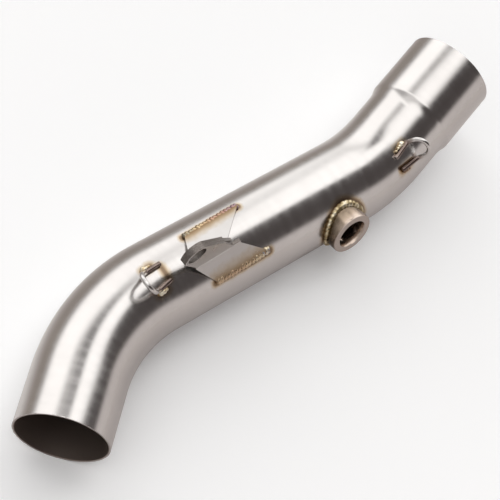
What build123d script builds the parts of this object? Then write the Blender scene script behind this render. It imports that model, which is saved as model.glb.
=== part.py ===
"""Exhaust link pipe: a bent tube with a swaged socket, a sensor boss, a lug and two spring hooks.

The origin is the centre of the plain end's cut face. X runs into the tube from that end, Z is up, and
the pipe lies as it comes to rest: on the underside of its plain end, first bend and straight run,
with the second bend lifting the socket clear. Millimetres and degrees.

Places on the tube are given by a distance along its centre line and an angle round it. The angle is
0 on top and grows towards the inside of the first bend.
"""

import os
from math import cos, degrees, radians, sin, tan

from build123d import *

# The tube
tube_diameter = 50.8
tube_wall = 1.2
bend_radius = 101.6
plain_end_length = 33.0
first_bend_angle = 40.0
middle_length = 136.0
second_bend_angle = 22.0
second_bend_around = -45.5
neck_length = 15.0

# The socket swaged in the tube's far end, which takes a tube of the same diameter
shoulder_length = 7.5
socket_length = 40.0
socket_clearance = 0.35

# The sensor boss, with a hole for an 18 mm fine thread
bung_before_second_bend = 21.9
bung_around = 73.6
bung_lean = 2.0
bung_diameter = 26.0
bung_height = 7.8
thread_minor_diameter = 16.4
thread_major_diameter = 18.0
bung_face_chamfer = 0.8
bung_weld_width = 2.4
bung_weld_slope = 1.6

# The bracket, two folded plates back to back. Distances along the tube are from the bracket's own
# centre, and grow towards the plain end
bracket_after_first_bend = 36.0
bracket_around = 14.4
bracket_turn = 2.2
plate_thickness = 2.0
fold_inner_radius = 1.5
flange_angle = 29.3
fold_near_end = 24.5
inner_fold_far_end = -6.6
inner_flange_overhang = 2.0
inner_flange_near_end = 13.7
inner_flange_far_end = -23.5
outer_fold_far_end = -1.5
outer_flange_overhang = 2.5
outer_flange_near_end = 16.2
outer_flange_far_end = -21.4

# The lug that the two plates make together. Heights are up its seam from the line where the faces of
# the two flanges would meet
lug_lean = 15.0
lug_hole_diameter = 11.5
lug_hole_along = 29.0
lug_hole_height = 15.9
lug_end_radius = 7.3
lug_corner_along = 35.2
lug_corner_height = 13.2
lug_corner_radius = 1.2
lug_step_along = 7.5
lug_step_height = 10.1
lug_shoulder_height = 8.6
lug_shoulder_end = -1.5
bracket_weld_radius = 2.0
bracket_weld_offset = 0.4

# The spring hooks
wire_diameter = 2.6
hook_seat_gap = 0.15
hook_fold_radius = 2.2
hook_weld_radius = 1.3
hook_weld_lift = 0.8
hook_weld_length = 4.6

plain_end_hook_before_bend_end = 11.9
plain_end_hook_around = 8.8
plain_end_hook_turn = 3.4
plain_end_hook_leg_length = 9.7
plain_end_hook_foot_half_width = 5.2
plain_end_hook_loop_half_width = 5.9
plain_end_hook_loop_length = 13.8
plain_end_hook_raise_angle = 50.0
plain_end_hook_outer_weld_start = 4.5
plain_end_hook_inner_weld_start = 4.0

socket_hook_before_bend_end = 1.8
socket_hook_around = 37.0
socket_hook_turn = -0.7
socket_hook_leg_length = 13.1
socket_hook_foot_half_width = 4.1
socket_hook_loop_half_width = 6.1
socket_hook_loop_length = 9.6
socket_hook_raise_angle = 57.0
socket_hook_outer_weld_start = 4.5
socket_hook_inner_weld_start = 1.0

tube_radius = tube_diameter / 2
socket_bore_radius = tube_radius + socket_clearance
socket_radius = socket_bore_radius + tube_wall


# Stations along the tube. A station is a plane square to the centre line, with Z along the tube and X
# towards the inside of the first bend.
def way_round(station, around):
    """The direction out of the tube at an angle round it."""
    inside_way = station.x_dir * sin(radians(around))
    top_way = station.y_dir * -cos(radians(around))
    return inside_way + top_way


def after_run(station, length):
    return station.offset(length)


def bend_axis(station, around):
    inward = way_round(station, around)
    return Axis(station.origin + inward * bend_radius, station.z_dir.cross(inward))


def after_bend(station, angle, around):
    """The station at the end of a bend that turns the tube the given way round it."""
    inward = way_round(station, around)
    sideways = station.z_dir.cross(inward)
    turn = radians(angle)
    turned_inward = inward * cos(turn) - station.z_dir * sin(turn)
    forward = station.z_dir * (bend_radius * sin(turn))
    aside = inward * (bend_radius * (1 - cos(turn)))
    return Plane(
        origin=station.origin + forward + aside,
        x_dir=turned_inward * station.x_dir.dot(inward) + sideways * station.x_dir.dot(sideways),
        z_dir=station.z_dir * cos(turn) + inward * sin(turn),
    )


def in_bend(station, distance, around):
    """The station a distance along the centre line of a bend."""
    return after_bend(station, degrees(distance / bend_radius), around)


first_bend_around = 90.0
plain_end = Plane(origin=(0, 0, 0), x_dir=(0, -1, 0), z_dir=(1, 0, 0))
first_bend_start = after_run(plain_end, plain_end_length)
first_bend_end = after_bend(first_bend_start, first_bend_angle, first_bend_around)
second_bend_start = after_run(first_bend_end, middle_length)
second_bend_end = after_bend(second_bend_start, second_bend_angle, second_bend_around)

bracket_station = after_run(first_bend_end, bracket_after_first_bend)
bung_station = after_run(first_bend_end, middle_length - bung_before_second_bend)
first_bend_arc = bend_radius * radians(first_bend_angle)
second_bend_arc = bend_radius * radians(second_bend_angle)
plain_end_hook_distance = first_bend_arc - plain_end_hook_before_bend_end
socket_hook_distance = second_bend_arc - socket_hook_before_bend_end


# The tube, as a filled outer form and the gas way that is cut from it
def swaged_profile(radius, end_radius):
    """Half section of the neck, shoulder and socket, filled to the axis."""
    shoulder_start = (radius, neck_length)
    socket_start = (end_radius, neck_length + shoulder_length)
    socket_end = neck_length + shoulder_length + socket_length
    neck_line = Line((radius, 0), shoulder_start)
    shoulder_line = TangentArc(shoulder_start, socket_start, tangent=(0, 1))
    outline = Polyline(socket_start, (end_radius, socket_end), (0, socket_end), (0, 0), (radius, 0))
    return make_face([neck_line, shoulder_line] + list(outline.edges()))


def tube_form(radius, end_radius):
    """The whole tube as a filled bar, with its far end swaged to a second radius."""
    plain_run = extrude(plain_end * Circle(radius), plain_end_length)
    first_bend = revolve(
        first_bend_start * Circle(radius),
        bend_axis(first_bend_start, first_bend_around),
        first_bend_angle,
    )
    middle_run = extrude(first_bend_end * Circle(radius), middle_length)
    second_bend = revolve(
        second_bend_start * Circle(radius),
        bend_axis(second_bend_start, second_bend_around),
        second_bend_angle,
    )
    swaged_end = revolve(Plane.XZ * swaged_profile(radius, end_radius), Axis.Z)
    return plain_run + first_bend + middle_run + second_bend + second_bend_end.location * swaged_end


tube_outside = tube_form(tube_radius, socket_radius)
gas_way = tube_form(tube_radius - tube_wall, socket_bore_radius)


# The sensor boss. Its plane starts on the tube's centre line, and its axis leans to the plain end
def boss_plane():
    outward = way_round(bung_station, bung_around)
    lean = radians(bung_lean)
    axis = outward * cos(lean) - bung_station.z_dir * sin(lean)
    foot = bung_station.origin + outward * tube_radius - axis * tube_radius
    return Plane(origin=foot, x_dir=bung_station.z_dir + outward * tan(lean), z_dir=axis)


def turned_boss():
    """Half section of the boss spun round its axis, before its foot is coped to the tube."""
    outer = bung_diameter / 2
    bore = thread_minor_diameter / 2
    mouth = thread_major_diameter / 2
    face = tube_radius + bung_height
    section = Polyline(
        (bore, 0),
        (outer, 0),
        (outer, face - bung_face_chamfer),
        (outer - bung_face_chamfer, face),
        (mouth, face),
        (bore, face - (mouth - bore)),
        close=True,
    )
    return revolve(Plane.XZ * make_face(section), Axis.Z)


def bung_weld_ring():
    """A bead with a sloping face that follows the saddle where the boss stands on the tube."""
    swollen_tube = extrude(first_bend_end * Circle(tube_radius + bung_weld_width), middle_length)
    boss_radius = bung_diameter / 2
    collar = extrude(boss * Circle(boss_radius + bung_weld_width), tube_diameter)
    collar -= extrude(boss * Circle(boss_radius), tube_diameter)
    ring = (swollen_tube & collar) - tube_outside
    outer_rim = ring.edges().sort_by(lambda edge: edge.length)[-1]
    return chamfer(outer_rim, bung_weld_slope)


boss = boss_plane()
sensor_bung = boss.location * turned_boss() - tube_outside
sensor_hole = extrude(boss * Circle(thread_major_diameter / 2), tube_diameter)
link_pipe = tube_outside - gas_way - sensor_hole
bung_weld = bung_weld_ring()


# The bracket. Its plane has X towards the plain end, Y towards the inside of the first bend and Z out
# of the tube
def bracket_plane():
    outward = way_round(bracket_station, bracket_around)
    plane = Plane(origin=bracket_station.origin, x_dir=bracket_station.z_dir * -1, z_dir=outward)
    return plane.rotated((0, 0, bracket_turn))


def capsule(start, end, radius):
    """A round bar with domed ends, the plain form of a weld bead."""
    along = end - start
    length = along.length
    start_dome = RadiusArc((0, -radius), (radius, 0), -radius)
    side = Line((radius, 0), (radius, length))
    end_dome = RadiusArc((radius, length), (0, length + radius), -radius)
    axis_line = Line((0, length + radius), (0, -radius))
    half_section = make_face([start_dome, side, end_dome, axis_line])
    return Plane(start, z_dir=along).location * revolve(Plane.XZ * half_section, Axis.Z)


def crossing(point_a, way_a, point_b, way_b):
    """Where two lines of the section cross."""
    across = way_a.X * way_b.Y - way_a.Y * way_b.X
    gap = point_b - point_a
    return point_a + way_a * ((gap.X * way_b.Y - gap.Y * way_b.X) / across)


def in_bracket(point, along=0.0):
    """A point of the bracket's section as a point in space, in the bracket's own plane."""
    return Vector(along, point.X, point.Y)


lug_way = Vector(-sin(radians(lug_lean)), cos(radians(lug_lean)))
lug_normal = Vector(cos(radians(lug_lean)), sin(radians(lug_lean)))
flange_face_distance = tube_radius + plate_thickness
apex = Vector(0, flange_face_distance / cos(radians(flange_angle)))


def lug_outline(flip, base):
    """The lug seen square on: an ear round the bolt hole, and behind a small step a sloping shoulder."""
    ear_base = Polyline(
        (fold_near_end, flip * base),
        (lug_step_along, flip * base),
        (lug_step_along, flip * lug_step_height),
    )
    hole_centre = Pos(lug_hole_along, flip * lug_hole_height)
    ear_end = hole_centre * Circle(lug_end_radius)
    ear_corner = Pos(lug_corner_along, flip * lug_corner_height) * Circle(lug_corner_radius)
    ear = make_hull(ear_base.edges() + ear_end.edges() + ear_corner.edges())
    shoulder = make_face(
        Polyline(
            (lug_step_along, flip * base),
            (lug_step_along, flip * lug_shoulder_height),
            (lug_shoulder_end, flip * base),
            close=True,
        )
    )
    return ear + shoulder - hole_centre * Circle(lug_hole_diameter / 2)


def bracket_plate(side, fold_far_end, flange_overhang, flange_near_end, flange_far_end):
    """One folded plate and its weld bead. Side is 1 for the plate on the inside of the first bend."""
    flange_out = Vector(side * sin(radians(flange_angle)), cos(radians(flange_angle)))
    flange_up = Vector(-side * cos(radians(flange_angle)), sin(radians(flange_angle)))
    lug_out = lug_normal * side
    touch_line = flange_out * flange_face_distance
    corner = crossing(touch_line, flange_up, apex + lug_out * plate_thickness, lug_way)
    fold_angle = flange_up.get_angle(lug_way)
    setback = fold_inner_radius * tan(radians(fold_angle / 2))
    fold_start = corner - flange_up * setback
    fold_end = corner + lug_way * setback
    fold_centre = fold_start + flange_out * fold_inner_radius

    flange_length = (fold_start - touch_line).dot(flange_up) + flange_overhang
    flange_plane = Plane(in_bracket(fold_start), x_dir=(1, 0, 0), z_dir=in_bracket(flange_out))
    flange_sheet = make_face(
        Polyline(
            (fold_near_end, 0),
            (fold_far_end, 0),
            (flange_far_end, side * flange_length),
            (flange_near_end, side * flange_length),
            close=True,
        )
    )
    flange = extrude(flange_plane * flange_sheet, -plate_thickness)

    fold_plane = Plane(in_bracket(fold_start), x_dir=(1, 0, 0), z_dir=in_bracket(flange_up))
    fold_width = fold_near_end - fold_far_end
    fold_middle = (fold_near_end + fold_far_end) / 2
    fold_section = Pos(fold_middle, -side * plate_thickness / 2) * Rectangle(fold_width, plate_thickness)
    fold_line = Axis(in_bracket(fold_centre), Vector(-side, 0, 0))
    fold = revolve(fold_plane * fold_section, fold_line, fold_angle)

    lug_foot = apex + lug_out * plate_thickness
    lug_plane = Plane(in_bracket(lug_foot), x_dir=(1, 0, 0), z_dir=in_bracket(lug_out))
    lug_base = (fold_end - lug_foot).dot(lug_way)
    lug = extrude(lug_plane * lug_outline(-side, lug_base), -plate_thickness)

    plate_edge = fold_start - flange_up * flange_length - flange_out * plate_thickness
    bead_centre = plate_edge - flange_up * bracket_weld_offset
    bead = capsule(
        in_bracket(bead_centre, flange_near_end),
        in_bracket(bead_centre, flange_far_end),
        bracket_weld_radius,
    )
    beyond_edge = Plane(in_bracket(plate_edge), x_dir=(1, 0, 0), z_dir=in_bracket(flange_up * -1))
    bead_room = extrude(beyond_edge * Rectangle(4 * fold_width, 4 * fold_width), 4 * bracket_weld_radius)
    plate = bracket.location * (flange + fold + lug) - tube_outside
    weld_bead = bracket.location * (bead & bead_room) - tube_outside
    return plate, weld_bead


bracket = bracket_plane()
bracket_inner_plate, bracket_inner_weld = bracket_plate(
    1,
    inner_fold_far_end,
    inner_flange_overhang,
    inner_flange_near_end,
    inner_flange_far_end,
)
bracket_outer_plate, bracket_outer_weld = bracket_plate(
    -1,
    outer_fold_far_end,
    outer_flange_overhang,
    outer_flange_near_end,
    outer_flange_far_end,
)


# The spring hooks, each a wire bent to a loop whose two legs lie on the tube
def spring_hook(
    bend_start,
    bend_around,
    distance,
    around,
    way,
    turn,
    leg_length,
    foot_half_width,
    loop_half_width,
    loop_length,
    raise_angle,
    outer_weld_start,
    inner_weld_start,
):
    """A hook and its two beads. Way is 1 for a loop towards the socket, -1 towards the plain end."""
    wire_radius = wire_diameter / 2
    lift = wire_radius + hook_seat_gap
    fold_station = in_bend(bend_start, distance, bend_around)
    foot_distance = distance - way * leg_length * cos(radians(turn))
    foot_station = in_bend(bend_start, foot_distance, bend_around)
    foot_shift = way * leg_length * sin(radians(turn))

    def on_tube(station, aside, height):
        """A point over the tube, aside from the hook's middle."""
        angle = around + degrees(aside / (tube_radius + height))
        return station.origin + way_round(station, angle) * (tube_radius + height)

    outward = way_round(fold_station, around)
    hook_plane = Plane(fold_station.origin, x_dir=fold_station.z_dir * way, z_dir=outward)
    loop_way = hook_plane.rotated((0, 0, turn)).x_dir
    raised = loop_way * cos(radians(raise_angle)) + outward * sin(radians(raise_angle))
    feet = []
    folds = []
    beads = []
    for side, weld_start in ((-1, outer_weld_start), (1, inner_weld_start)):
        foot_aside = side * foot_half_width + foot_shift
        foot = on_tube(foot_station, foot_aside, lift)
        fold = on_tube(fold_station, side * loop_half_width, lift)
        feet.append(foot)
        folds.append(fold)
        leg_way = (fold - foot).normalized()
        bead_aside = side * (wire_radius + hook_weld_radius / 2)
        bead_start = on_tube(foot_station, foot_aside + bead_aside, hook_weld_lift) + leg_way * weld_start
        bead = capsule(bead_start, bead_start + leg_way * hook_weld_length, hook_weld_radius)
        leg_start = Plane(foot - leg_way * leg_length, z_dir=leg_way)
        leg = Solid.make_cylinder(wire_radius, 3 * leg_length, leg_start)
        beads.append(bead - tube_outside - leg)
    tips = [fold + raised * loop_length for fold in folds]
    tip_radius = 0.49 * (folds[1] - folds[0]).length
    wire_line = FilletPolyline(
        feet[0], folds[0], tips[0], tips[1], folds[1], feet[1],
        radius=[hook_fold_radius, tip_radius, tip_radius, hook_fold_radius],
    )
    wire_end = Plane(feet[0], z_dir=folds[0] - feet[0])
    wire = sweep(wire_end * Circle(wire_radius), path=wire_line)
    return wire, beads


plain_end_hook, plain_end_hook_beads = spring_hook(
    first_bend_start,
    first_bend_around,
    plain_end_hook_distance,
    plain_end_hook_around,
    -1,
    plain_end_hook_turn,
    plain_end_hook_leg_length,
    plain_end_hook_foot_half_width,
    plain_end_hook_loop_half_width,
    plain_end_hook_loop_length,
    plain_end_hook_raise_angle,
    plain_end_hook_outer_weld_start,
    plain_end_hook_inner_weld_start,
)
socket_hook, socket_hook_beads = spring_hook(
    second_bend_start,
    second_bend_around,
    socket_hook_distance,
    socket_hook_around,
    1,
    socket_hook_turn,
    socket_hook_leg_length,
    socket_hook_foot_half_width,
    socket_hook_loop_half_width,
    socket_hook_loop_length,
    socket_hook_raise_angle,
    socket_hook_outer_weld_start,
    socket_hook_inner_weld_start,
)

pieces = {
    "link_pipe": link_pipe,
    "sensor_bung": sensor_bung,
    "bung_weld": bung_weld,
    "bracket_inner_plate": bracket_inner_plate,
    "bracket_outer_plate": bracket_outer_plate,
    "bracket_inner_weld": bracket_inner_weld,
    "bracket_outer_weld": bracket_outer_weld,
    "plain_end_hook": plain_end_hook,
    "plain_end_hook_outer_weld": plain_end_hook_beads[0],
    "plain_end_hook_inner_weld": plain_end_hook_beads[1],
    "socket_hook": socket_hook,
    "socket_hook_outer_weld": socket_hook_beads[0],
    "socket_hook_inner_weld": socket_hook_beads[1],
}

os.makedirs("parts", exist_ok=True)
for name, piece in pieces.items():
    export_step(piece, f"parts/{name}.step")
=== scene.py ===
"""An exhaust link pipe as it leaves the welding bench: bent, swaged, fitted and welded, then wiped.

Everything is in metres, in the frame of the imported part: the origin is the centre of the plain
end's cut face, X runs into the pipe and Z is up. The sections follow the order in which the pipe is
made. A place on the tube is a distance along its middle and an angle round it, which is 0 on top
and grows towards the inside of the first bend.
"""

from math import cos, radians, sin, sqrt, tan, tau

import bmesh
import bpy
from mathutils import Matrix, Vector


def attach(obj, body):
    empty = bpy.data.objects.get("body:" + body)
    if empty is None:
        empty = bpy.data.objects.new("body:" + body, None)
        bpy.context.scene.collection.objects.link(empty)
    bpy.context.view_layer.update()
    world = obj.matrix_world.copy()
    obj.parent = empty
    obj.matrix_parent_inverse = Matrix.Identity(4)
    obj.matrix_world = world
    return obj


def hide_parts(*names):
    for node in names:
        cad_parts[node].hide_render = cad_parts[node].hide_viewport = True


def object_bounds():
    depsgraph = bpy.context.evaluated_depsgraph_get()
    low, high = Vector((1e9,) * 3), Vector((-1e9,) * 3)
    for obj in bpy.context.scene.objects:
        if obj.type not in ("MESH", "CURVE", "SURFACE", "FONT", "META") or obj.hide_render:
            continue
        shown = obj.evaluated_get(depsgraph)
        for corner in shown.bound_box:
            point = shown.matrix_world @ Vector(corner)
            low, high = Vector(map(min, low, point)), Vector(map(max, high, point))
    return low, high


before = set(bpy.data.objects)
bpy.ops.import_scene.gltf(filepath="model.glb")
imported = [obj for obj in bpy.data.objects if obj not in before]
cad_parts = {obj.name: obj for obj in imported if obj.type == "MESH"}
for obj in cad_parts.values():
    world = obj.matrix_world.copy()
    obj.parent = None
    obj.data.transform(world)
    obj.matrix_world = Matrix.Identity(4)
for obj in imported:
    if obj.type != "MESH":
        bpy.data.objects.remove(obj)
cad_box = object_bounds()
mm = 0.001

# The pipe: a stainless tube with a 1.2 mm wall, bent twice round a 101.6 mm former. Its far end is
# swaged out to a socket for the next tube, and its skin is belt finished round the tube.
tube_radius = 25.4 * mm
tube_wall = 1.2 * mm
bend_radius = 101.6 * mm
plain_end_length = 33.0 * mm
first_bend_angle = radians(40.0)
first_bend_around = radians(90.0)
middle_length = 136.0 * mm
second_bend_angle = radians(22.0)
second_bend_around = radians(-45.5)
neck_length = 15.0 * mm
shoulder_length = 7.5 * mm
socket_length = 40.0 * mm
socket_rise = 1.55 * mm
rim_break = 0.25 * mm
rim_guard = 0.4 * mm
shoulder_guards = (0.45 * mm, 1.1 * mm)
tube_sides = 144
smooth_limit = radians(35)
same_place = 0.01 * mm


def station(place, across, along):
    """A place with X across and Z along the way that a piece is drawn."""
    along = along.normalized()
    across = (across - along * across.dot(along)).normalized()
    turn = Matrix((across, along.cross(across), along)).transposed().to_4x4()
    return Matrix.Translation(place) @ turn


def way_along(here):
    return here.to_3x3() @ Vector((0, 0, 1))


def way_round(here, around):
    """The way out of the tube at an angle round it."""
    return here.to_3x3() @ Vector((sin(around), -cos(around), 0))


def run_on(here, length):
    return here @ Matrix.Translation((0, 0, length))


def bend_on(here, inward, radius, angle):
    """Swings a station round a former that lies on its inward side."""
    centre = here.translation + inward * radius
    swing = Matrix.Rotation(angle, 4, way_along(here).cross(inward))
    return Matrix.Translation(centre) @ swing @ Matrix.Translation(-centre) @ here


def in_bend(here, around, distance):
    """The station a distance into a bend that turns the tube the given way round it."""
    return bend_on(here, way_round(here, around), bend_radius, distance / bend_radius)


def ring_edges(ring):
    inside = set(ring)
    return [edge for edge in {e for v in ring for e in v.link_edges} if set(edge.verts) <= inside]


def draw_rings(bm, places, sides):
    """Draws a round section through the places, one ring of points at each, and gives the rings."""
    made = bmesh.ops.create_circle(bm, cap_ends=False, radius=1.0, segments=sides, matrix=places[0])
    rings = [made["verts"]]
    for before, after in zip(places, places[1:]):
        drawn = bmesh.ops.extrude_edge_only(bm, edges=ring_edges(rings[-1]))["geom"]
        ring = [item for item in drawn if isinstance(item, bmesh.types.BMVert)]
        bmesh.ops.transform(bm, matrix=after @ before.inverted(), verts=ring)
        rings.append(ring)
    return rings


def finish_piece(name, bm, crease=smooth_limit):
    """Turns a modelled form into an object with its faces outward, smooth up to a crease."""
    bmesh.ops.recalc_face_normals(bm, faces=bm.faces)
    mesh = bpy.data.meshes.new(name)
    bm.to_mesh(mesh)
    bm.free()
    for face in mesh.polygons:
        face.use_smooth = True
    mesh.set_sharp_from_angle(angle=crease)
    piece = bpy.data.objects.new(name, mesh)
    bpy.context.scene.collection.objects.link(piece)
    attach(piece, "root")
    return piece


plain_end = station(Vector((0, 0, 0)), Vector((0, -1, 0)), Vector((1, 0, 0)))
first_bend_start = run_on(plain_end, plain_end_length)
first_bend_arc = bend_radius * first_bend_angle
first_bend_end = in_bend(first_bend_start, first_bend_around, first_bend_arc)
second_bend_start = run_on(first_bend_end, middle_length)
second_bend_arc = bend_radius * second_bend_angle
second_bend_end = in_bend(second_bend_start, second_bend_around, second_bend_arc)


def pipe_stations():
    """Stations down the middle of the pipe, each with its distance and its growth in radius."""
    end_steps = [plain_end_length * step / 12 for step in range(1, 12)]
    stops = [(gone, run_on(plain_end, gone), 0.0) for gone in (0.0, rim_guard, *end_steps)]
    done = plain_end_length
    for step in range(40):
        gone = first_bend_arc * step / 40
        stops.append((done + gone, in_bend(first_bend_start, first_bend_around, gone), 0.0))
    done += first_bend_arc
    for step in range(34):
        gone = middle_length * step / 34
        stops.append((done + gone, run_on(first_bend_end, gone), 0.0))
    done += middle_length
    for step in range(24):
        gone = second_bend_arc * step / 24
        stops.append((done + gone, in_bend(second_bend_start, second_bend_around, gone), 0.0))
    done += second_bend_arc
    for step in range(4):
        gone = neck_length * step / 4
        stops.append((done + gone, run_on(second_bend_end, gone), 0.0))
    flare_radius = (socket_rise**2 + shoulder_length**2) / (2 * socket_rise)
    for step in range(12):
        gone = shoulder_length * step / 12
        rise = flare_radius - sqrt(flare_radius**2 - gone**2)
        gone += neck_length
        stops.append((done + gone, run_on(second_bend_end, gone), rise))
    socket_steps = [socket_length * step / 8 for step in range(1, 8)]
    for gone in (*shoulder_guards, *socket_steps, socket_length - rim_guard, socket_length):
        gone += neck_length + shoulder_length
        stops.append((done + gone, run_on(second_bend_end, gone), socket_rise))
    return stops


stops = pipe_stations()
layout = [(gone, here, tube_radius + rise) for gone, here, rise in stops]
layout += [(gone, here, tube_radius + rise - tube_wall) for gone, here, rise in reversed(stops)]
layout.append(layout[0])
pipe_form = bmesh.new()
unbent = pipe_form.verts.layers.float_vector.new("unbent")
in_bore = pipe_form.verts.layers.float.new("in_bore")
pipe_rings = draw_rings(
    pipe_form, [here @ Matrix.Scale(radius, 4) for gone, here, radius in layout], tube_sides
)
for count, (ring, (gone, here, radius)) in enumerate(zip(pipe_rings, layout)):
    for point in ring:
        local = here.inverted() @ point.co
        point[unbent] = (gone, local.x, local.y)
        point[in_bore] = float(len(stops) <= count < len(layout) - 1)
rims = []
for end in (0, len(stops) - 1, len(stops), -2):
    rims += ring_edges(pipe_rings[end])
bmesh.ops.remove_doubles(pipe_form, verts=pipe_rings[0] + pipe_rings[-1], dist=same_place)
rims = [edge for edge in rims if edge.is_valid]
bmesh.ops.bevel(
    pipe_form, geom=rims, offset=rim_break, segments=2, profile=0.5, affect="EDGES", material=-1
)
link_pipe = finish_piece("pipe", pipe_form)
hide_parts("link_pipe")

# The sensor hole: 18 mm wide, drilled through the wall of the straight run where the boss is welded
# on next. Its axis is the boss's own, which leans a little to the plain end.
boss_before_second_bend = 21.9 * mm
boss_around = radians(73.6)
boss_lean = radians(2.0)
thread_radius = 9.0 * mm
hole_middle = 25.0 * mm
hole_length = 30.0 * mm

boss_stop = run_on(first_bend_end, middle_length - boss_before_second_bend)
boss_out = way_round(boss_stop, boss_around)
run_way = way_along(boss_stop)
boss_axis = boss_out * cos(boss_lean) - run_way * sin(boss_lean)
boss_across = (run_way + boss_out * tan(boss_lean)).normalized()
boss_foot = boss_stop.translation + (boss_out - boss_axis) * tube_radius
boss_station = station(boss_foot, boss_across, boss_axis)


def drill(piece, place, radius, length):
    """Takes a round bar out of a piece."""
    bar_form = bmesh.new()
    bmesh.ops.create_cone(
        bar_form, cap_ends=True, segments=96, radius1=radius, radius2=radius, depth=length,
        matrix=place,
    )
    cut_from(piece, bar_form)


def cut_from(piece, tool_form):
    """Takes a closed form out of a piece, and leaves no tool behind."""
    bmesh.ops.recalc_face_normals(tool_form, faces=tool_form.faces)
    mesh = bpy.data.meshes.new("tool")
    tool_form.to_mesh(mesh)
    tool_form.free()
    for face in mesh.polygons:
        face.use_smooth = True
    tool = bpy.data.objects.new("tool", mesh)
    bpy.context.scene.collection.objects.link(tool)
    cut = piece.modifiers.new("cut", "BOOLEAN")
    cut.operation = "DIFFERENCE"
    cut.solver = "EXACT"
    cut.object = tool
    bpy.context.view_layer.update()
    seen = piece.evaluated_get(bpy.context.evaluated_depsgraph_get())
    done = bpy.data.meshes.new_from_object(seen)
    piece.modifiers.remove(cut)
    piece.data = done
    bpy.data.objects.remove(tool)


drill(link_pipe, run_on(boss_station, hole_middle), thread_radius, hole_length)
link_pipe.data.set_sharp_from_angle(angle=smooth_limit)

# Heat tint: the film of oxide that a weld leaves on bare steel, brown at the bead and straw further
# out. Each steel takes it from its distance to the welds, so the lines of all the welds are worked
# out here, from the sizes of the bracket and of the hooks.
boss_radius = 13.0 * mm
bracket_after_first_bend = 36.0 * mm
bracket_around = radians(14.4)
bracket_turn = radians(2.2)
flange_angle = radians(29.3)
lug_lean = radians(15.0)
inner_overhang = 2.0 * mm
inner_flange_ends = (13.7 * mm, -23.5 * mm)
outer_overhang = 2.5 * mm
outer_flange_ends = (16.2 * mm, -21.4 * mm)
weld_below_edge = 0.4 * mm
wire_radius = 1.3 * mm
seat_gap = 0.15 * mm
tack_radius = 1.3 * mm
tack_lift = 0.8 * mm
tack_length = 4.6 * mm

bracket_stop = run_on(first_bend_end, bracket_after_first_bend)
bracket_swing = Matrix.Rotation(bracket_turn, 3, "Z")
bracket_way = bracket_swing @ -run_way
bracket_out = bracket_swing @ way_round(bracket_stop, bracket_around)
bracket = station(bracket_stop.translation, bracket_way, bracket_out)


def flange_weld(side, overhang, ends):
    """The line of the weld along a flange's edge. Side is 1 on the inside of the first bend."""
    out = Vector((0, side * sin(flange_angle), cos(flange_angle)))
    down = Vector((0, side * cos(flange_angle), -sin(flange_angle)))
    middle = out * tube_radius + down * (overhang + weld_below_edge)
    return tuple(bracket @ (middle + Vector((end, 0, 0))) for end in ends)


def hook_lines(
    bend_start, bend_around, distance, around, way, turn, leg_length, foot_half_width,
    loop_half_width, loop_length, raise_angle, weld_starts,
):
    """A hook's corners and the lines of its outer and inner tacks. Way is -1 to the plain end."""
    fold_stop = in_bend(bend_start, bend_around, distance)
    foot_stop = in_bend(bend_start, bend_around, distance - way * leg_length * cos(turn))
    foot_shift = way * leg_length * sin(turn)

    def on_tube(here, aside, height):
        """A point over the tube, aside from the hook's middle."""
        angle = around + aside / (tube_radius + height)
        return here.translation + way_round(here, angle) * (tube_radius + height)

    feet = []
    folds = []
    lines = []
    for side, weld_start in zip((-1, 1), weld_starts):
        foot_aside = side * foot_half_width + foot_shift
        foot = on_tube(foot_stop, foot_aside, wire_radius + seat_gap)
        fold = on_tube(fold_stop, side * loop_half_width, wire_radius + seat_gap)
        leg_way = (fold - foot).normalized()
        tack_aside = foot_aside + side * (wire_radius + tack_radius / 2)
        start = on_tube(foot_stop, tack_aside, tack_lift) + leg_way * weld_start
        feet.append(foot)
        folds.append(fold)
        lines.append((start, start + leg_way * tack_length))
    loop_way = Matrix.Rotation(turn, 3, "Z") @ way_along(fold_stop) * way
    raised = loop_way * cos(raise_angle) + way_round(fold_stop, around) * sin(raise_angle)
    tips = [fold + raised * loop_length for fold in folds]
    return [feet[0], folds[0], tips[0], tips[1], folds[1], feet[1]], lines


inner_bead = flange_weld(1, inner_overhang, inner_flange_ends)
outer_bead = flange_weld(-1, outer_overhang, outer_flange_ends)
plain_hook_corners, plain_hook_beads = hook_lines(
    bend_start=first_bend_start,
    bend_around=first_bend_around,
    distance=first_bend_arc - 11.9 * mm,
    around=radians(8.8),
    way=-1,
    turn=radians(3.4),
    leg_length=9.7 * mm,
    foot_half_width=5.2 * mm,
    loop_half_width=5.9 * mm,
    loop_length=13.8 * mm,
    raise_angle=radians(50.0),
    weld_starts=(4.5 * mm, 4.0 * mm),
)
socket_hook_corners, socket_hook_beads = hook_lines(
    bend_start=second_bend_start,
    bend_around=second_bend_around,
    distance=second_bend_arc - 1.8 * mm,
    around=radians(37.0),
    way=1,
    turn=radians(-0.7),
    leg_length=13.1 * mm,
    foot_half_width=4.1 * mm,
    loop_half_width=6.1 * mm,
    loop_length=9.6 * mm,
    raise_angle=radians(57.0),
    weld_starts=(4.5 * mm, 1.0 * mm),
)

# The film also follows a line between the plain end hook's feet and one down the socket hook's leg;
# along these lines it is partly heat tint and partly painted shade under and beside the wire.
feet_sink = Vector((0, 0, 0.32 * mm))
outer_foot, inner_foot = plain_hook_corners[0], plain_hook_corners[-1]
leg_end, leg_fold = socket_hook_corners[-1], socket_hook_corners[-2]
hook_feet = [
    (outer_foot.lerp(inner_foot, 0.08) - feet_sink, outer_foot.lerp(inner_foot, 0.92) - feet_sink),
    (leg_end.lerp(leg_fold, 0.68), leg_end.lerp(leg_fold, 0.05)),
]


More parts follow.
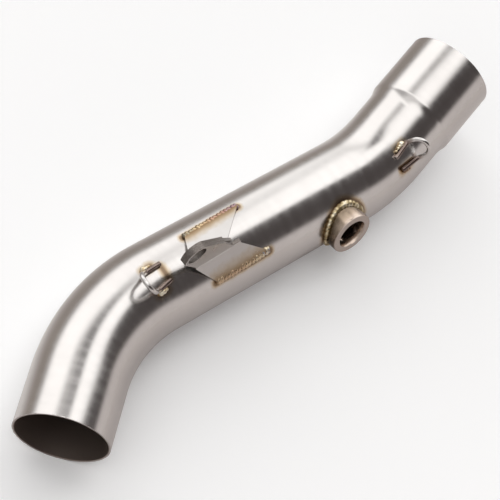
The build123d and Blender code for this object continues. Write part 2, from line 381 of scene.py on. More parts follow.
class Steel:
    """A steel's nodes, with a few short ways to wire them."""

    def __init__(self, name):
        self.material = bpy.data.materials.new(name)
        self.material.use_nodes = True
        self.tree = self.material.node_tree
        self.shader = self.tree.nodes["Principled BSDF"]
        self.place = self.tree.nodes.new("ShaderNodeTexCoord").outputs["Object"]

    def put(self, socket, value):
        if isinstance(value, bpy.types.NodeSocket):
            self.tree.links.new(value, socket)
        else:
            socket.default_value = value

    def math(self, operation, first, second=0.0, clamp=False):
        node = self.tree.nodes.new("ShaderNodeMath")
        node.operation = operation
        node.use_clamp = clamp
        self.put(node.inputs[0], first)
        self.put(node.inputs[1], second)
        return node.outputs[0]

    def vector(self, operation, first, second=(0, 0, 0)):
        node = self.tree.nodes.new("ShaderNodeVectorMath")
        node.operation = operation
        self.put(node.inputs[0], first)
        if operation == "SCALE":
            self.put(node.inputs["Scale"], second)
        else:
            self.put(node.inputs[1], second)
        return node.outputs["Value"] if operation in ("DOT_PRODUCT", "LENGTH") else node.outputs[0]

    def noise(self, where, scale, detail=2.0, roughness=0.5):
        node = self.tree.nodes.new("ShaderNodeTexNoise")
        self.put(node.inputs["Vector"], where)
        self.put(node.inputs["Scale"], scale)
        self.put(node.inputs["Detail"], detail)
        self.put(node.inputs["Roughness"], roughness)
        return node.outputs["Fac"]

    def between(self, value, low, high, start=0.0, end=1.0):
        node = self.tree.nodes.new("ShaderNodeMapRange")
        self.put(node.inputs["Value"], value)
        self.put(node.inputs["From Min"], low)
        self.put(node.inputs["From Max"], high)
        self.put(node.inputs["To Min"], start)
        self.put(node.inputs["To Max"], end)
        return node.outputs["Result"]

    def ramp(self, value, colours):
        node = self.tree.nodes.new("ShaderNodeValToRGB")
        steps = node.color_ramp.elements
        for number, (place, colour) in enumerate(colours):
            step = steps[number] if number < 2 else steps.new(place)
            step.position = place
            step.color = (*colour, 1.0)
        self.put(node.inputs["Fac"], value)
        return node.outputs["Color"]

    def mix(self, amount, first, second, blend="MIX"):
        node = self.tree.nodes.new("ShaderNodeMix")
        node.data_type = "RGBA"
        node.blend_type = blend
        self.put(node.inputs["Factor"], amount)
        self.put(node.inputs["A"], first)
        self.put(node.inputs["B"], second)
        return node.outputs["Result"]

    def bump(self, height, distance, under=None):
        node = self.tree.nodes.new("ShaderNodeBump")
        self.put(node.inputs["Height"], height)
        self.put(node.inputs["Distance"], distance)
        self.put(node.inputs["Strength"], 1.0)
        if under is not None:
            self.put(node.inputs["Normal"], under)
        return node.outputs["Normal"]

    def finish(self, colour, roughness, normal):
        """Makes the steel bare metal of the given colour, roughness and fine relief."""
        self.put(self.shader.inputs["Base Color"], colour)
        self.put(self.shader.inputs["Metallic"], 1.0)
        self.put(self.shader.inputs["Roughness"], roughness)
        self.put(self.shader.inputs["Normal"], normal)
        return self.material

    def to_line(self, start, end):
        """The distance to a straight weld."""
        way = end - start
        gone = self.vector("SUBTRACT", self.place, tuple(start))
        reached = self.vector("DOT_PRODUCT", gone, tuple(way))
        share = self.math("MULTIPLY", reached, 1.0 / way.length_squared, clamp=True)
        foot = self.vector("SCALE", tuple(way), share)
        return self.vector("LENGTH", self.vector("SUBTRACT", gone, foot))

    def to_ring(self, centre, axis, radius):
        """The distance to the weld round the boss, measured square to the boss."""
        gone = self.vector("SUBTRACT", self.place, tuple(centre))
        rise = self.vector("DOT_PRODUCT", gone, tuple(axis))
        aside = self.vector("SUBTRACT", gone, self.vector("SCALE", tuple(axis), rise))
        near = self.math("ABSOLUTE", self.math("SUBTRACT", self.vector("LENGTH", aside), radius))
        return self.math("ADD", near, self.math("LESS_THAN", rise, 0.0))


tube_film = (
    (0.0, (0.34, 0.25, 0.17)),
    (0.22, (0.60, 0.48, 0.34)),
    (0.50, (0.88, 0.79, 0.66)),
    (1.0, (1.0, 1.0, 1.0)),
)


def heat_tint(steel, colour, distance, half_width, reach, film):
    """Multiplies a steel's colour by the film for its distance past the nearest weld's edge."""
    distance = steel.math("SUBTRACT", distance, half_width)
    wander = steel.between(steel.noise(steel.place, 240.0, 2.0), 0.25, 0.75, 0.8, 1.25)
    share = steel.math("DIVIDE", steel.math("MULTIPLY", distance, wander), reach, clamp=True)
    return steel.mix(1.0, colour, steel.ramp(share, film), "MULTIPLY")


def nearest(steel, distances):
    least = distances[0]
    for other in distances[1:]:
        least = steel.math("MINIMUM", least, other)
    return least


def tube_steel():
    """Belt finished tube: fine scratches round it, a faint ripple from drawing, heat tint, and
    painted shade inside the bore.
    """
    steel = Steel("tube_steel")
    unbent = steel.tree.nodes.new("ShaderNodeAttribute")
    unbent.attribute_name = "unbent"
    layout = unbent.outputs["Vector"]
    scratches = steel.noise(steel.vector("MULTIPLY", layout, (2600.0, 55.0, 55.0)), 1.0, 2.0)
    bands = steel.noise(steel.vector("MULTIPLY", layout, (260.0, 9.0, 9.0)), 1.0, 2.0)
    cloud = steel.noise(layout, 28.0, 3.0)
    dull = (0.60, 0.585, 0.575, 1)
    clean = (0.655, 0.645, 0.635, 1)
    bore_shade = (0.25, 0.205, 0.18, 1)
    colour = steel.mix(steel.between(cloud, 0.3, 0.7), dull, clean)
    tacks = nearest(steel, [steel.to_line(*bead) for bead in plain_hook_beads + socket_hook_beads])
    # Along the lines by the hooks' feet the film is heat tint and also painted shade under and
    # beside the wire.
    feet = nearest(steel, [steel.to_line(*foot) for foot in hook_feet])
    beads = nearest(steel, [steel.to_line(*bead) for bead in (inner_bead, outer_bead)])
    ring = steel.to_ring(boss_foot, boss_axis, boss_radius + 1.4 * mm)
    for distance, half_width, reach in (
        (tacks, 0.8 * mm, 4.0 * mm),
        (feet, 0.9 * mm, 3.2 * mm),
        (beads, 1.7 * mm, 2.6 * mm),
        (ring, 1.2 * mm, 2.8 * mm),
    ):
        colour = heat_tint(steel, colour, distance, half_width, reach, tube_film)
    bore = steel.tree.nodes.new("ShaderNodeAttribute")
    bore.attribute_name = "in_bore"
    inside = bore.outputs["Fac"]
    # Painted shade: the inside wall of the pipe takes a darker brown colour that stands in for the
    # shade inside the bore.
    colour = steel.mix(inside, colour, bore_shade)
    rough = steel.between(bands, 0.3, 0.7, 0.17, 0.23)
    rough = steel.math("ADD", rough, steel.between(inside, 0.0, 1.0, 0.0, 0.25))
    ripple = steel.noise(steel.vector("MULTIPLY", layout, (45.0, 30.0, 30.0)), 1.0, 1.0)
    skin = steel.bump(scratches, 0.0025 * mm, steel.bump(ripple, 0.05 * mm))
    steel.finish(colour, rough, skin)
    steel.put(steel.shader.inputs["Metallic"], steel.between(inside, 0.0, 1.0, 1.0, 0.8))
    return steel.material


link_pipe.data.materials.clear()
link_pipe.data.materials.append(tube_steel())

# The sensor boss: a collar turned from stainless bar, its foot coped to the tube, its bore tapped
# M18 x 1.5 for the sensor.
boss_height = 7.8 * mm
boss_sink = 9.0 * mm
face_chamfer = 0.8 * mm
chamfer_guard = 0.25 * mm
boss_crease = radians(32)
mouth_ease = 0.1 * mm
mouth_slope = 1.8
cope_length = 120.0 * mm
thread_minor = 8.2 * mm
thread_pitch = 1.5 * mm
thread_turns = 9
thread_steps = 48
tap_sink = 9.8 * mm
tap_core = thread_minor - 0.25 * mm
tap_crest = thread_radius - 0.05 * mm
boss_face = tube_radius + boss_height


def turned_collar():
    """The collar's section spun round its axis, with its bore, countersink and outer chamfer."""
    low = tube_radius - boss_sink
    mouth = thread_radius + mouth_ease
    section = (
        (thread_minor, low),
        (boss_radius, low),
        (boss_radius, boss_face - face_chamfer - chamfer_guard),
        (boss_radius, boss_face - face_chamfer),
        (boss_radius - 0.25 * face_chamfer, boss_face - 0.25 * face_chamfer),
        (boss_radius - face_chamfer, boss_face),
        (boss_radius - face_chamfer - chamfer_guard, boss_face),
        (mouth, boss_face),
        (thread_minor, boss_face - mouth_slope * (mouth - thread_minor)),
    )
    collar = bmesh.new()
    points = [collar.verts.new((across, 0, up)) for across, up in section]
    edges = [collar.edges.new((a, b)) for a, b in zip(points, points[1:] + points[:1])]
    bmesh.ops.spin(
        collar, geom=points + edges, cent=(0, 0, 0), axis=(0, 0, 1), angle=tau, steps=96,
        use_merge=True, use_duplicate=False,
    )
    bmesh.ops.transform(collar, matrix=boss_station, verts=collar.verts)
    return collar


def tap():
    """The tap: a bar with a thread's ridge wound round it, closed at both ends."""
    form = bmesh.new()
    start = tube_radius - tap_sink
    ridge = (
        (tap_core, 0.0),
        (tap_core, 0.16 * thread_pitch),
        (tap_crest, 0.50 * thread_pitch),
        (tap_crest, 0.62 * thread_pitch),
        (tap_core, 0.96 * thread_pitch),
        (tap_core, thread_pitch),
    )
    points = [form.verts.new((across, 0, start + up)) for across, up in ridge]
    edges = [form.edges.new((a, b)) for a, b in zip(points, points[1:])]
    bmesh.ops.spin(
        form, geom=points + edges, cent=(0, 0, 0), axis=(0, 0, 1), angle=tau * thread_turns,
        steps=thread_steps * thread_turns, dvec=(0, 0, thread_pitch / thread_steps),
    )
    bmesh.ops.remove_doubles(form, verts=form.verts, dist=0.004 * mm)
    for turns, keep_up in ((2.0, True), (8.0, False)):
        cut = bmesh.ops.bisect_plane(
            form, geom=form.verts[:] + form.edges[:] + form.faces[:],
            plane_co=(0, 0, start + turns * thread_pitch), plane_no=(0, 0, 1),
            clear_inner=keep_up, clear_outer=not keep_up,
        )
        edge = [item for item in cut["geom_cut"] if isinstance(item, bmesh.types.BMEdge)]
        bmesh.ops.holes_fill(form, edges=edge)
    bmesh.ops.transform(form, matrix=boss_station, verts=form.verts)
    return form


sensor_bung = finish_piece("boss", turned_collar())
tube_bar = bmesh.new()
bmesh.ops.create_cone(
    tube_bar, cap_ends=True, segments=192, radius1=tube_radius, radius2=tube_radius,
    depth=cope_length, matrix=boss_stop,
)
cut_from(sensor_bung, tube_bar)
cut_from(sensor_bung, tap())
sensor_bung.data.set_sharp_from_angle(angle=boss_crease)
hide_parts("sensor_bung")


def turned_steel():
    """Turned bar, straw and bronze from the heat of the weld at its foot, with painted light that
    makes one side lighter and the other darker, and fine tool marks.
    """
    steel = Steel("bung_steel")
    gone = steel.vector("SUBTRACT", steel.place, tuple(boss_foot))
    rise = steel.vector("DOT_PRODUCT", gone, tuple(boss_axis))
    up_share = steel.between(rise, tube_radius, boss_face, 0.0, 0.45)
    # Painted light: the film grows lighter across the boss towards one side, standing in for the
    # highlight on that side and the shade on the other.
    lit_side_way = (boss_across * 0.5 + boss_axis.cross(boss_across)).normalized()
    aside = steel.vector("DOT_PRODUCT", gone, tuple(lit_side_way))
    painted_light_share = steel.between(aside, -boss_radius, boss_radius, 0.0, 0.55)
    cloud = steel.noise(steel.place, 160.0, 3.0)
    share = steel.math("ADD", up_share, painted_light_share)
    share = steel.math("ADD", share, steel.between(cloud, 0.3, 0.7, -0.08, 0.08), clamp=True)
    film = (
        (0.0, (0.05, 0.038, 0.025)),
        (0.45, (0.14, 0.105, 0.07)),
        (0.70, (0.40, 0.32, 0.25)),
        (1.0, (0.62, 0.53, 0.46)),
    )
    face_colour = (0.50, 0.44, 0.40, 1)
    bore_colour = (0.50, 0.42, 0.36, 1)
    on_face = steel.between(rise, boss_face - 0.7 * mm, boss_face - 0.1 * mm)
    colour = steel.mix(on_face, steel.ramp(share, film), face_colour)
    from_axis = steel.to_ring(boss_foot, boss_axis, 0.0)
    in_thread = steel.between(from_axis, thread_radius + 0.15 * mm, thread_radius - 0.05 * mm)
    colour = steel.mix(in_thread, colour, bore_colour)
    marks = steel.noise(steel.vector("MULTIPLY", steel.place, (900.0, 900.0, 900.0)), 1.0, 1.0)
    rough = steel.between(cloud, 0.3, 0.7, 0.18, 0.26)
    return steel.finish(colour, rough, steel.bump(marks, 0.006 * mm))


sensor_bung.data.materials.clear()
sensor_bung.data.materials.append(turned_steel())

# The ring weld: stainless filler laid round the foot of the boss in overlapping puddles, each one a
# rounded swell between two seams, with brown and gold where it cooled in air.
puddle_pitch = 2.45 * mm
puddle_roundness = 0.45
seam_level = 0.742
bead_crease = radians(60)
ring_steps = 252
ring_sides = 24
ring_lift = 0.35 * mm
ring_half_height = 1.75 * mm
ring_half_width = 2.3 * mm
ring_narrowing = 0.8 * mm


def ripple(gone):
    """How far a bead swells over each puddle: a rounded rise and fall between sharp seams."""
    across = 2.0 * ((gone / puddle_pitch) % 1.0) - 1.0
    return (sqrt(1.0 - puddle_roundness * across**2) - seam_level) / (1.0 - seam_level)


def saddle_stations():
    """Stations round the foot of the boss, where the collar meets the tube."""
    tube_place = first_bend_end.translation
    side_one = (boss_across - boss_axis * boss_across.dot(boss_axis)).normalized()
    side_two = boss_axis.cross(side_one)

    def off_tube(way):
        """The part of a way that points square to the tube's middle."""
        return way - run_way * way.dot(run_way)

    def foot(angle):
        out = side_one * cos(angle) + side_two * sin(angle)
        spot = boss_foot + out * (boss_radius + ring_lift)
        rest = off_tube(spot - tube_place)
        rise = off_tube(boss_axis)
        a, b, c = rise.dot(rise), 2 * rest.dot(rise), rest.dot(rest) - (tube_radius + ring_lift) ** 2
        return spot + boss_axis * ((-b + sqrt(b * b - 4 * a * c)) / (2 * a)), out

    places = []
    gone = 0.0
    last = foot(0.0)[0]
    for step in range(ring_steps):
        angle = tau * step / ring_steps
        here, out = foot(angle)
        ahead = foot(angle + 0.01)[0]
        gone += (here - last).length
        last = here
        crown = (off_tube(here - tube_place).normalized() + out).normalized()
        size = (0.80 + 0.20 * ripple(gone)) * (1.0 + 0.06 * sin(5.0 * angle + 0.6))
        width = ring_half_width + ring_narrowing * min(0.0, cos(angle))
        oval = Matrix.Diagonal((ring_half_height * size, width * size, mm, 1))
        places.append(station(here, crown, ahead - here) @ oval)
    return places


bung_weld_form = bmesh.new()
saddle = saddle_stations()
saddle_rings = draw_rings(bung_weld_form, saddle + [saddle[0]], ring_sides)
bmesh.ops.remove_doubles(
    bung_weld_form, verts=saddle_rings[0] + saddle_rings[-1], dist=same_place
)
bung_weld = finish_piece("boss_weld", bung_weld_form, bead_crease)
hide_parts("bung_weld")


def weld_steel(name, film, scale, line=None):
    """Filler with its oxide colours in patches, or in turn along a straight bead."""
    steel = Steel(name)
    patches = steel.noise(steel.place, scale, 2.0, 0.45)
    share = steel.between(patches, 0.30, 0.70)
    if line is not None:
        start, end = line
        way = (end - start) / (end - start).length_squared
        from_start = steel.vector("SUBTRACT", steel.place, tuple(start))
        gone = steel.vector("DOT_PRODUCT", from_start, tuple(way))
        wander = steel.between(patches, 0.30, 0.70, -0.12, 0.12)
        share = steel.math("ADD", gone, wander, clamp=True)
    fine = steel.noise(steel.place, 1500.0, 2.0)
    rough = steel.between(fine, 0.3, 0.7, 0.24, 0.38)
    return steel.finish(steel.ramp(share, film), rough, steel.bump(fine, 0.009 * mm))


gold_film = (
    (0.0, (0.16, 0.12, 0.07)),
    (0.35, (0.40, 0.32, 0.18)),
    (0.65, (0.66, 0.58, 0.40)),
    (1.0, (0.84, 0.80, 0.66)),
)
bung_weld.data.materials.append(weld_steel("boss_weld_steel", gold_film, 300.0))

# The bracket: two plates of 2 mm stainless sheet, each folded so that its flange lies along the tube
# and its lug stands up, back to back with the other's. Sheared edges, dulled on a stone.
edge_break = 0.22 * mm
edge_limit = radians(40)
plate_crease = radians(30)
flat_limit = radians(0.6)
lug_axis = bracket.to_3x3() @ Vector((0, cos(lug_lean), sin(lug_lean)))
seam_way = bracket.to_3x3() @ Vector((0, -sin(lug_lean), cos(lug_lean)))


def sheet_piece(name, node):
    """A folded plate with its sheared edges broken."""
    form = bmesh.new()
    form.from_mesh(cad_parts[node].data)
    bmesh.ops.remove_doubles(form, verts=form.verts, dist=0.003 * mm)
    bmesh.ops.dissolve_limit(
        form, angle_limit=flat_limit, verts=form.verts, edges=form.edges, delimit={"NORMAL"}
    )
    form.normal_update()
    for face in form.faces:
        at_end = abs(face.normal.dot(bracket_way)) > 0.2
        on_rim = abs(face.normal.dot(lug_axis)) < 0.15
        # End and rim faces take the dark edge material, whose darkness paints the shade on the
        # plates' narrow edges.
        face.material_index = 1 if at_end or on_rim else 0
    piece = finish_piece(name, form, plate_crease)
    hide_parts(node)
    ease = piece.modifiers.new("edge", "BEVEL")
    ease.width = edge_break
    ease.segments = 2
    ease.limit_method = "ANGLE"
    ease.angle_limit = edge_limit
    ease.harden_normals = True
    return piece


sheet_film = (
    (0.0, (0.46, 0.32, 0.19)),
    (0.20, (0.66, 0.52, 0.36)),
    (0.50, (0.88, 0.80, 0.69)),
    (1.0, (1.0, 1.0, 1.0)),
)


def sheet_steel():
    """Satin sheet with the mill's straight grain, tinted beside the welds."""
    steel = Steel("bracket_steel")
    grain = steel.noise(steel.vector("MULTIPLY", steel.place, (300.0, 300.0, 2400.0)), 1.0, 2.0)
    cloud = steel.noise(steel.place, 60.0, 3.0)
    dull = (0.56, 0.545, 0.53, 1)
    clean = (0.62, 0.61, 0.60, 1)
    base = steel.mix(steel.between(cloud, 0.3, 0.7), dull, clean)
    inner_distance = steel.math("SUBTRACT", steel.to_line(*inner_bead), 1.8 * mm)
    outer_distance = steel.math("SUBTRACT", steel.to_line(*outer_bead), 2.2 * mm)
    distance = nearest(steel, [inner_distance, steel.math("MULTIPLY", outer_distance, 1.8)])
    colour = heat_tint(steel, base, distance, 0.0, 8.5 * mm, sheet_film)
    rough = steel.between(cloud, 0.3, 0.7, 0.26, 0.34)
    return steel.finish(colour, rough, steel.bump(grain, 0.003 * mm))


def shaded_cut_edge():
    """A cut edge with the fine stripes of the cut, painted dark for the shade on the plates' narrow
    edges.
    """
    steel = Steel("shaded_cut_edge")
    stripes = steel.noise(steel.vector("MULTIPLY", steel.place, (1500.0, 1500.0, 300.0)), 1.0, 2.0)
    # Painted shade: these dark greys stand in for the shade on the plates' narrow edges.
    dark = (0.13, 0.115, 0.105, 1)
    light = (0.24, 0.22, 0.205, 1)
    scale = steel.mix(steel.between(stripes, 0.3, 0.7), dark, light)
    rough = steel.between(stripes, 0.3, 0.7, 0.34, 0.46)
    return steel.finish(scale, rough, steel.bump(stripes, 0.02 * mm))


bracket_steel = sheet_steel()
edge_shade_steel = shaded_cut_edge()
for node in ("bracket_inner_plate", "bracket_outer_plate"):
    plate = sheet_piece(node.replace("bracket_", "lug_"), node)
    plate.data.materials.append(bracket_steel)
    plate.data.materials.append(edge_shade_steel)

# The bracket's two beads: filler laid along each flange's edge in one pass of even puddles, which
# show as crescents. Each starts with a tack, closes in at both ends, and is tinted gold, copper and
# violet in turn along its length.
bead_height = 1.9 * mm
bead_steps = 150
bead_sides = 28
puddle_depth = 0.30
bead_bow = 0.25
inner_film = (
    (0.0, (0.62, 0.48, 0.33)),
    (0.30, (0.56, 0.41, 0.28)),
    (0.60, (0.64, 0.50, 0.34)),
    (0.88, (0.74, 0.66, 0.48)),
    (1.0, (0.40, 0.42, 0.54)),
)
outer_film = (
    (0.0, (0.30, 0.27, 0.21)),
    (0.25, (0.62, 0.49, 0.30)),
    (0.50, (0.56, 0.38, 0.25)),
    (0.75, (0.46, 0.28, 0.23)),
    (1.0, (0.36, 0.26, 0.30)),
)


def bead_stations(start, end, lift, height, width):
    """Stations down a straight bead, which starts with a tack and closes in at both ends."""
    way = (end - start).normalized()
    run_out = 0.3 * height
    tip = 0.02 * height
    length = (end - start).length + 2 * run_out
    places = []
    for step in range(bead_steps + 1):
        gone = min(max(length * step / bead_steps, tip), length - tip)
        inside = min(gone, length - gone, height)
        dome = sqrt(max(height**2 - (height - inside) ** 2, 0.0)) / height
        waves = gone / puddle_pitch
        wobble = 1.0 + 0.06 * sin(waves * 1.7) + 0.04 * sin(waves * 4.3 + 1.0)
        tack = 1.0 + 0.08 * max(0.0, 1.0 - ((gone - height) / height) ** 2)
        puddle = 1.0 - puddle_depth + puddle_depth * ripple(gone)
        size = max(dome * wobble * tack * puddle, 0.03)
        here = station(start + way * (gone - run_out), lift, way)
        places.append(here @ Matrix.Diagonal((height * size, width * size, height, 1)))
    return places


def dish(rings, lift, way, bow):
    """Pulls the crown of each ring back along the bead, so that the puddles show as crescents."""
    for ring in rings:
        middle = sum((point.co for point in ring), Vector()) / len(ring)
        for point in ring:
            rise = (point.co - middle).dot(lift)
            point.co -= way * bow * max(rise, 0.0)


def straight_bead(name, node, places, lift, way, bow):
    form = bmesh.new()
    rings = draw_rings(form, places, bead_sides)
    dish(rings, lift, way, bow)
    for ring in (rings[0], rings[-1]):
        bmesh.ops.holes_fill(form, edges=ring_edges(ring))
    bead = finish_piece(name, form, bead_crease)
    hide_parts(node)
    return bead


def in_lug(out, up):
    """A way or a shift in the lug's section: out square to its faces, and up its seam."""
    return lug_axis * out + seam_way * up


inner_lift = in_lug(sin(radians(55.3)), cos(radians(55.3)))
outer_lift = in_lug(sin(radians(-26.5)), cos(radians(-26.5)))
inner_lap = in_lug(-0.36 * mm, 0.91 * mm)
outer_lap = in_lug(-0.08 * mm, 0.20 * mm)
for side, (start, end), lift, lap, width, film in (
    ("inner", inner_bead, inner_lift, inner_lap, 2.45 * mm, inner_film),
    ("outer", outer_bead, outer_lift, outer_lap, 2.15 * mm, outer_film),
):
    places = bead_stations(start + lap, end + lap, lift, bead_height, width)
    way = (end - start).normalized()
    bead = straight_bead(f"lug_{side}_weld", f"bracket_{side}_weld", places, lift, way, bead_bow)
    bead.data.materials.append(weld_steel(f"lug_{side}_weld_steel", film, 260.0, (start, end)))

# The spring hooks: 2.6 mm stainless wire bent to a loop that stands off the tube. Each rests on the
# tube with its two legs, and its cut ends are eased with a file.
fold_radius = 2.2 * mm
loop_share = 0.49
wire_sides = 28
wire_end_break = 0.2 * mm


def wire_stations(corners, corner_radii):
    """Stations down a wire that is bent at each corner in turn."""
    way = (corners[1] - corners[0]).normalized()
    here = station(corners[0], way.orthogonal(), way)
    stops = [here]
    for corner, beyond, radius in zip(corners[1:], corners[2:], corner_radii):
        way = way_along(here).normalized()
        onward = (beyond - corner).normalized()
        turn = way.angle(onward)
        straight = (corner - here.translation).length - radius * tan(turn / 2)
        for step in range(1, 4):
            stops.append(run_on(here, straight * step / 3))
        here = stops[-1]
        inward = (onward - way * onward.dot(way)).normalized()
        steps = max(6, round(turn / radians(6)))
        for step in range(1, steps + 1):
            stops.append(bend_on(here, inward, radius, turn * step / steps))
        here = stops[-1]
    last = (corners[-1] - here.translation).length
    for step in range(1, 4):
        stops.append(run_on(here, last * step / 3))
    return stops


def spring_hook(name, node, corners):
    """The wire through its corners, its loop's end as round as its width lets it be."""
    form = bmesh.new()
    tip_radius = loop_share * (corners[4] - corners[1]).length
    radii = (fold_radius, tip_radius, tip_radius, fold_radius)
    places = [here @ Matrix.Scale(wire_radius, 4) for here in wire_stations(corners, radii)]
    rings = draw_rings(form, places, wire_sides)
    rims = []
    for ring in (rings[0], rings[-1]):
        rims += ring_edges(ring)
        bmesh.ops.holes_fill(form, edges=ring_edges(ring))
    bmesh.ops.bevel(
        form, geom=rims, offset=wire_end_break, segments=2, profile=0.5, affect="EDGES", material=-1
    )
    hook = finish_piece(name, form)
    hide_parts(node)
    return hook


wire_film = (
    (0.0, (0.26, 0.20, 0.18)),
    (0.40, (0.42, 0.34, 0.31)),
    (0.75, (0.72, 0.66, 0.63)),
    (1.0, (1.0, 1.0, 1.0)),
)


def wire_steel(name, beads):
    """Drawn wire, brown where the tacks heated it and near the lines by the hooks' feet, where the
    brown is partly painted shade.
    """
    steel = Steel(name)
    cloud = steel.noise(steel.place, 240.0, 2.0)
    dull = (0.60, 0.59, 0.58, 1)
    clean = (0.68, 0.67, 0.66, 1)
    base = steel.mix(steel.between(cloud, 0.3, 0.7), dull, clean)
    distance = nearest(steel, [steel.to_line(*bead) for bead in beads + hook_feet])
    colour = heat_tint(steel, base, distance, 1.2 * mm, 6.0 * mm, wire_film)
    rough = steel.between(cloud, 0.3, 0.7, 0.16, 0.24)
    return steel.finish(colour, rough, steel.bump(cloud, 0.01 * mm))


plain_hook = spring_hook("plain_end_hook_wire", "plain_end_hook", plain_hook_corners)
plain_hook.data.materials.append(wire_steel("plain_end_wire_steel", plain_hook_beads))
socket_hook = spring_hook("socket_hook_wire", "socket_hook", socket_hook_corners)
socket_hook.data.materials.append(wire_steel("socket_wire_steel", socket_hook_beads))

# The tacks: short welds of two to four round lumps that hold each leg of a hook down to the tube.
# Each lump is a place along the tack and a radius, in millimetres, as the photo shows them.
lump_steps = 60
lump_ends = 0.005
least_lump = 0.25
tack_bow = 0.15
tack_crown = Vector((-0.2, -0.1, 1.0)).normalized()
cream_film = (
    (0.0, (0.50, 0.36, 0.20)),
    (0.40, (0.82, 0.72, 0.52)),
    (1.0, (0.93, 0.91, 0.82)),
)
brown_film = (
    (0.0, (0.18, 0.11, 0.07)),
    (0.50, (0.34, 0.24, 0.17)),
    (1.0, (0.52, 0.42, 0.34)),
)
plain_outer_lumps = ((1.6, 0.95), (3.1, 1.2), (5.0, 1.95))
plain_inner_lumps = ((0.8, 1.1), (2.6, 1.45), (4.6, 1.3))
socket_outer_lumps = ((-1.3, 0.85), (0.9, 1.0), (2.5, 1.2), (4.3, 1.75))
socket_inner_lumps = ((0.6, 1.2), (2.4, 1.3), (4.2, 1.1))


def lump_stations(start, end, lift, lumps):
    """Stations through a short weld of overlapping round lumps."""
    way = (end - start).normalized()
    first = min(at - radius for at, radius in lumps)
    last = max(at + radius for at, radius in lumps)
    places = []
    for step in range(lump_steps + 1):
        share = lump_ends + (1.0 - 2 * lump_ends) * step / lump_steps
        gone = first + (last - first) * share
        size = max(sqrt(max(radius**2 - (gone - at) ** 2, 0.0)) for at, radius in lumps)
        here = station(start + way * gone * mm, lift, way)
        places.append(here @ Matrix.Scale(max(size, least_lump) * mm, 4))
    return places


bright_tack = weld_steel("bright_tack_steel", cream_film, 500.0)
brown_tack = weld_steel("brown_tack_steel", brown_film, 500.0)
for name, (start, end), lumps, steel in (
    ("plain_end_hook_outer", plain_hook_beads[0], plain_outer_lumps, bright_tack),
    ("plain_end_hook_inner", plain_hook_beads[1], plain_inner_lumps, bright_tack),
    ("socket_hook_outer", socket_hook_beads[0], socket_outer_lumps, bright_tack),
    ("socket_hook_inner", socket_hook_beads[1], socket_inner_lumps, brown_tack),
):
    places = lump_stations(start, end, tack_crown, lumps)
    way = (end - start).normalized()
    tack = straight_bead(name + "_tack", name + "_weld", places, tack_crown, way, tack_bow)
    tack.data.materials.append(steel)

# The studio: a pale floor that the pipe rests on, a white canopy over it with the dark edge of a
# softbox across it, and a camera above the plain end.
floor_middle = (0.15, -0.08, cad_box[0][2])
floor_radius = 1.6
floor_form = bmesh.new()
bmesh.ops.create_circle(
    floor_form, cap_ends=True, radius=floor_radius, segments=96,
    matrix=Matrix.Translation(floor_middle),
)
floor = finish_piece("floor", floor_form)


def floor_paper():
    """White to the camera. What the metal sees of it is grey on one side and brown on the other."""
    paper = Steel("floor_paper")
    from_pipe = paper.vector("SUBTRACT", paper.place, (0.175, -0.083, 0))
    aside = paper.vector("DOT_PRODUCT", from_pipe, (0.536, 0.844, 0))
    # Painted reflection: only for the metal, the floor is grey on one side and brown on the other,
    # brightest beside the pipe, which paints the darker studio into the pipe's reflections.
    seen = paper.ramp(
        paper.between(aside, -0.25, 0.25),
        (
            (0.0, (0.74, 0.69, 0.67)),
            (0.40, (0.70, 0.66, 0.65)),
            (0.57, (0.90, 0.88, 0.87)),
            (0.66, (0.56, 0.52, 0.50)),
            (0.78, (0.42, 0.38, 0.35)),
        ),
    )
    camera_ray = paper.tree.nodes.new("ShaderNodeLightPath").outputs["Is Camera Ray"]
    colour = paper.mix(camera_ray, seen, (0.965, 0.985, 1.0, 1))
    paper.put(paper.shader.inputs["Base Color"], colour)
    paper.put(paper.shader.inputs["Roughness"], 1.0)
    paper.put(paper.shader.inputs["Specular IOR Level"], 0.0)
    paper.put(paper.shader.inputs["Emission Color"], (1.0, 1.0, 1.0, 1.0))
    paper.put(paper.shader.inputs["Emission Strength"], paper.math("MULTIPLY", camera_ray, 0.11))
    return paper.material


floor.data.materials.append(floor_paper())

world = bpy.data.worlds.new("studio")
bpy.context.scene.world = world
world.use_nodes = True


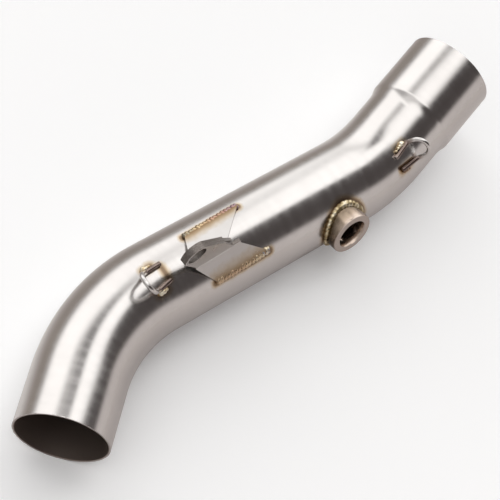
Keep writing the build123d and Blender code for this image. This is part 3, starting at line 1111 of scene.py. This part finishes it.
def studio_light():
    """The light in the studio by direction: compass angle from X towards Y, and height."""
    nodes = world.node_tree.nodes
    links = world.node_tree.links

    def put(socket, value):
        if isinstance(value, bpy.types.NodeSocket):
            links.new(value, socket)
        else:
            socket.default_value = value

    def sums(operation, *values):
        node = nodes.new("ShaderNodeMath")
        node.operation = operation
        for socket, value in zip(node.inputs, values):
            put(socket, value)
        return node.outputs[0]

    def step(value, edge, soft):
        """Rises from 0 to 1 across an edge, all in degrees."""
        node = nodes.new("ShaderNodeMapRange")
        node.interpolation_type = "SMOOTHSTEP"
        put(node.inputs["Value"], value)
        put(node.inputs["From Min"], radians(edge - soft))
        put(node.inputs["From Max"], radians(edge + soft))
        return node.outputs["Result"]

    def below(value, edge, soft):
        return sums("SUBTRACT", 1.0, step(value, edge, soft))

    def window(value, low, high, soft):
        return sums("MULTIPLY", step(value, low, soft), below(value, high, soft))

    def blend(amount, first, second):
        node = nodes.new("ShaderNodeMix")
        node.data_type = "RGBA"
        put(node.inputs["Factor"], amount)
        put(node.inputs["A"], first)
        put(node.inputs["B"], second)
        return node.outputs["Result"]

    way = nodes.new("ShaderNodeTexCoord").outputs["Generated"]
    parts = nodes.new("ShaderNodeSeparateXYZ")
    links.new(way, parts.inputs[0])
    compass = sums("ARCTAN2", parts.outputs["Y"], parts.outputs["X"])
    height = sums("ARCSINE", parts.outputs["Z"])

    far_side = blend(step(height, 2.0, 8.0), (0.42, 0.38, 0.35, 1), (0.60, 0.58, 0.57, 1))
    right_side = blend(step(height, 20.0, 5.0), (0.72, 0.66, 0.635, 1), (0.082, 0.07, 0.068, 1))
    colour = blend(window(compass, -200.0, -45.0, 8.0), far_side, right_side)
    behind = sums("MULTIPLY", window(compass, 70.0, 160.0, 10.0), step(height, 46.0, 8.0))
    colour = blend(behind, colour, (1.0, 0.97, 0.95, 1))
    canopy = sums("MULTIPLY", window(compass, -49.0, 74.0, 5.5), step(height, 9.0, 6.0))
    canopy = sums("MAXIMUM", canopy, step(height, 69.0, 7.0))
    edge_up = sums("MULTIPLY", window(compass, 7.0, 17.0, 4.0), below(height, 56.0, 3.0))
    slope = sums("MULTIPLY_ADD", compass, 0.15, sums("SUBTRACT", height, radians(3.75)))
    edge_over = sums("MULTIPLY", window(slope, 52.0, 66.0, 4.5), window(compass, 0.0, 50.0, 8.0))
    frame_edge = sums("MAXIMUM", sums("MULTIPLY", edge_up, 0.35), edge_over)
    gap = blend(step(compass, 30.0, 8.0), (0.10, 0.09, 0.09, 1), (0.55, 0.53, 0.52, 1))
    white = blend(frame_edge, (1.65, 1.61, 1.58, 1), gap)
    colour = blend(canopy, colour, white)
    background = nodes["Background"]
    camera_ray = nodes.new("ShaderNodeLightPath").outputs["Is Camera Ray"]
    put(background.inputs["Color"], blend(camera_ray, colour, (1.0, 1.0, 1.0, 1)))
    put(background.inputs["Strength"], 1.0)


studio_light()

camera_data = bpy.data.cameras.new("camera")
camera_data.sensor_width = 36.0
camera_data.lens = 111.35
camera = bpy.data.objects.new("camera", camera_data)
camera.location = (-0.308601, 0.038134, 0.712727)
camera.rotation_euler = (radians(29.2822), radians(-15.6905), radians(-77.697))
bpy.context.scene.collection.objects.link(camera)
bpy.context.scene.camera = camera
bpy.context.scene.view_settings.view_transform = "Standard"
